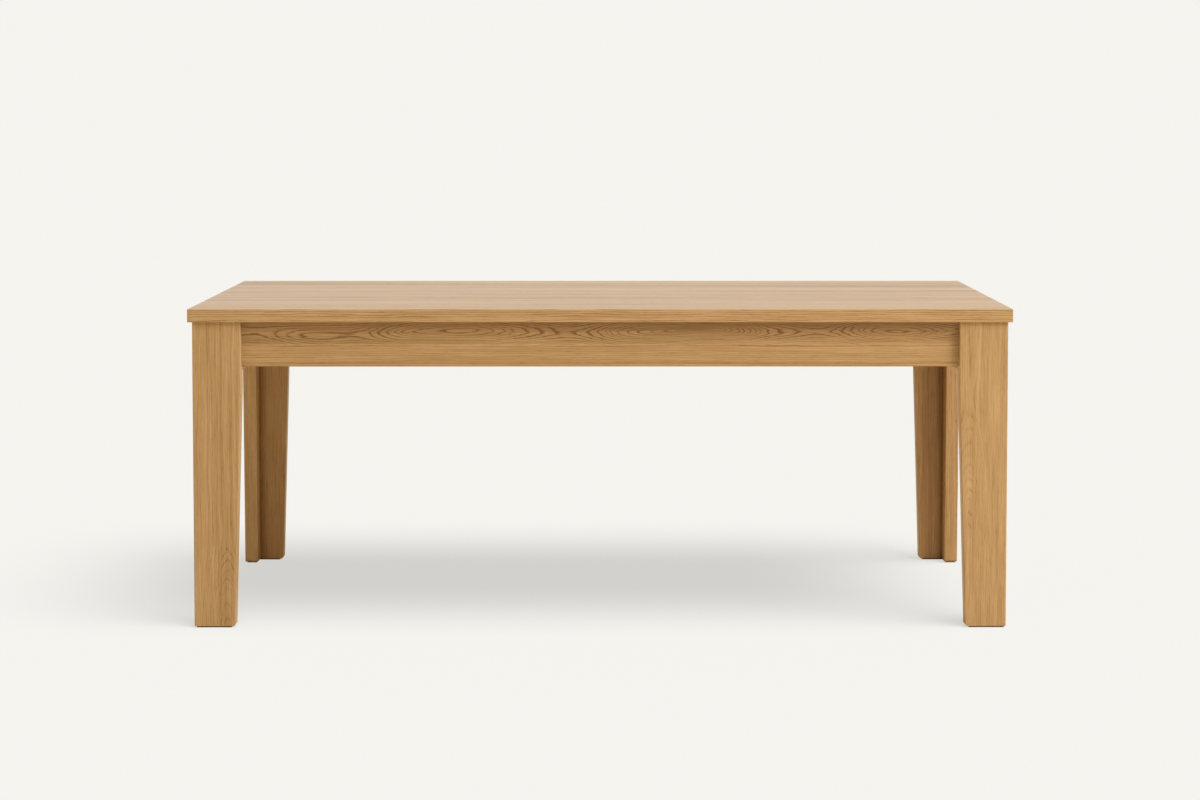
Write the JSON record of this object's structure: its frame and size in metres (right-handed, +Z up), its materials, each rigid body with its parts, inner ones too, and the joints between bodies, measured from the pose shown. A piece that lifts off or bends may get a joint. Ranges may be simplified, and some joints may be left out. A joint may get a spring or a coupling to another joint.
{
  "type": "dining table",
  "caption": "Rectangular solid wood dining table with a planked top, recessed aprons and L-shaped tapered legs flush at the corners, joined by bolted corner braces.",
  "frame": {"origin": "on the floor under the middle of the table top", "axes": "+X along the length of the table, -Y is the front long side, +Z up"},
  "size_m": [2, 1, 0.78],
  "materials": {
    "oak": "satin oil-wax",
    "beech": "sanded, unfinished",
    "zinc_plated_steel": "bright zinc plating",
    "felt": "dense wool felt"
  },
  "bodies": {
    "root": {"centre_cross_rail": "oak", "front_apron_lower_board": "oak", "front_apron_upper_board": "oak", "front_left_corner_brace": "oak", "front_left_end_apron_tenon": "beech", "front_left_foot_pads": "felt", "front_left_leg_core_block": "oak", "front_left_leg_end_board": "oak", "front_left_leg_face_board": "oak", "front_left_leg_spline": "beech", "front_left_long_apron_tenon": "beech", "front_right_corner_brace": "oak", "front_right_end_apron_tenon": "beech", "front_right_foot_pads": "felt", "front_right_leg_core_block": "oak", "front_right_leg_end_board": "oak", "front_right_leg_face_board": "oak", "front_right_leg_spline": "beech", "front_right_long_apron_tenon": "beech", "left_end_apron_lower_board": "oak", "left_end_apron_upper_board": "oak", "leg_bolt_nuts": "zinc_plated_steel", "leg_bolt_washers": "zinc_plated_steel", "leg_hanger_bolts": "zinc_plated_steel", "rear_apron_lower_board": "oak", "rear_apron_upper_board": "oak", "rear_left_corner_brace": "oak", "rear_left_end_apron_tenon": "beech", "rear_left_foot_pads": "felt", "rear_left_leg_core_block": "oak", "rear_left_leg_end_board": "oak", "rear_left_leg_face_board": "oak", "rear_left_leg_spline": "beech", "rear_left_long_apron_tenon": "beech", "rear_right_corner_brace": "oak", "rear_right_end_apron_tenon": "beech", "rear_right_foot_pads": "felt", "rear_right_leg_core_block": "oak", "rear_right_leg_end_board": "oak", "rear_right_leg_face_board": "oak", "rear_right_leg_spline": "beech", "rear_right_long_apron_tenon": "beech", "right_end_apron_lower_board": "oak", "right_end_apron_upper_board": "oak", "top_board_1": "oak", "top_board_2": "oak", "top_board_3": "oak", "top_board_4": "oak", "top_board_5": "oak", "top_board_6": "oak", "top_board_7": "oak", "top_board_8": "oak", "top_buttons": "beech"}
  },
  "joints": []
}
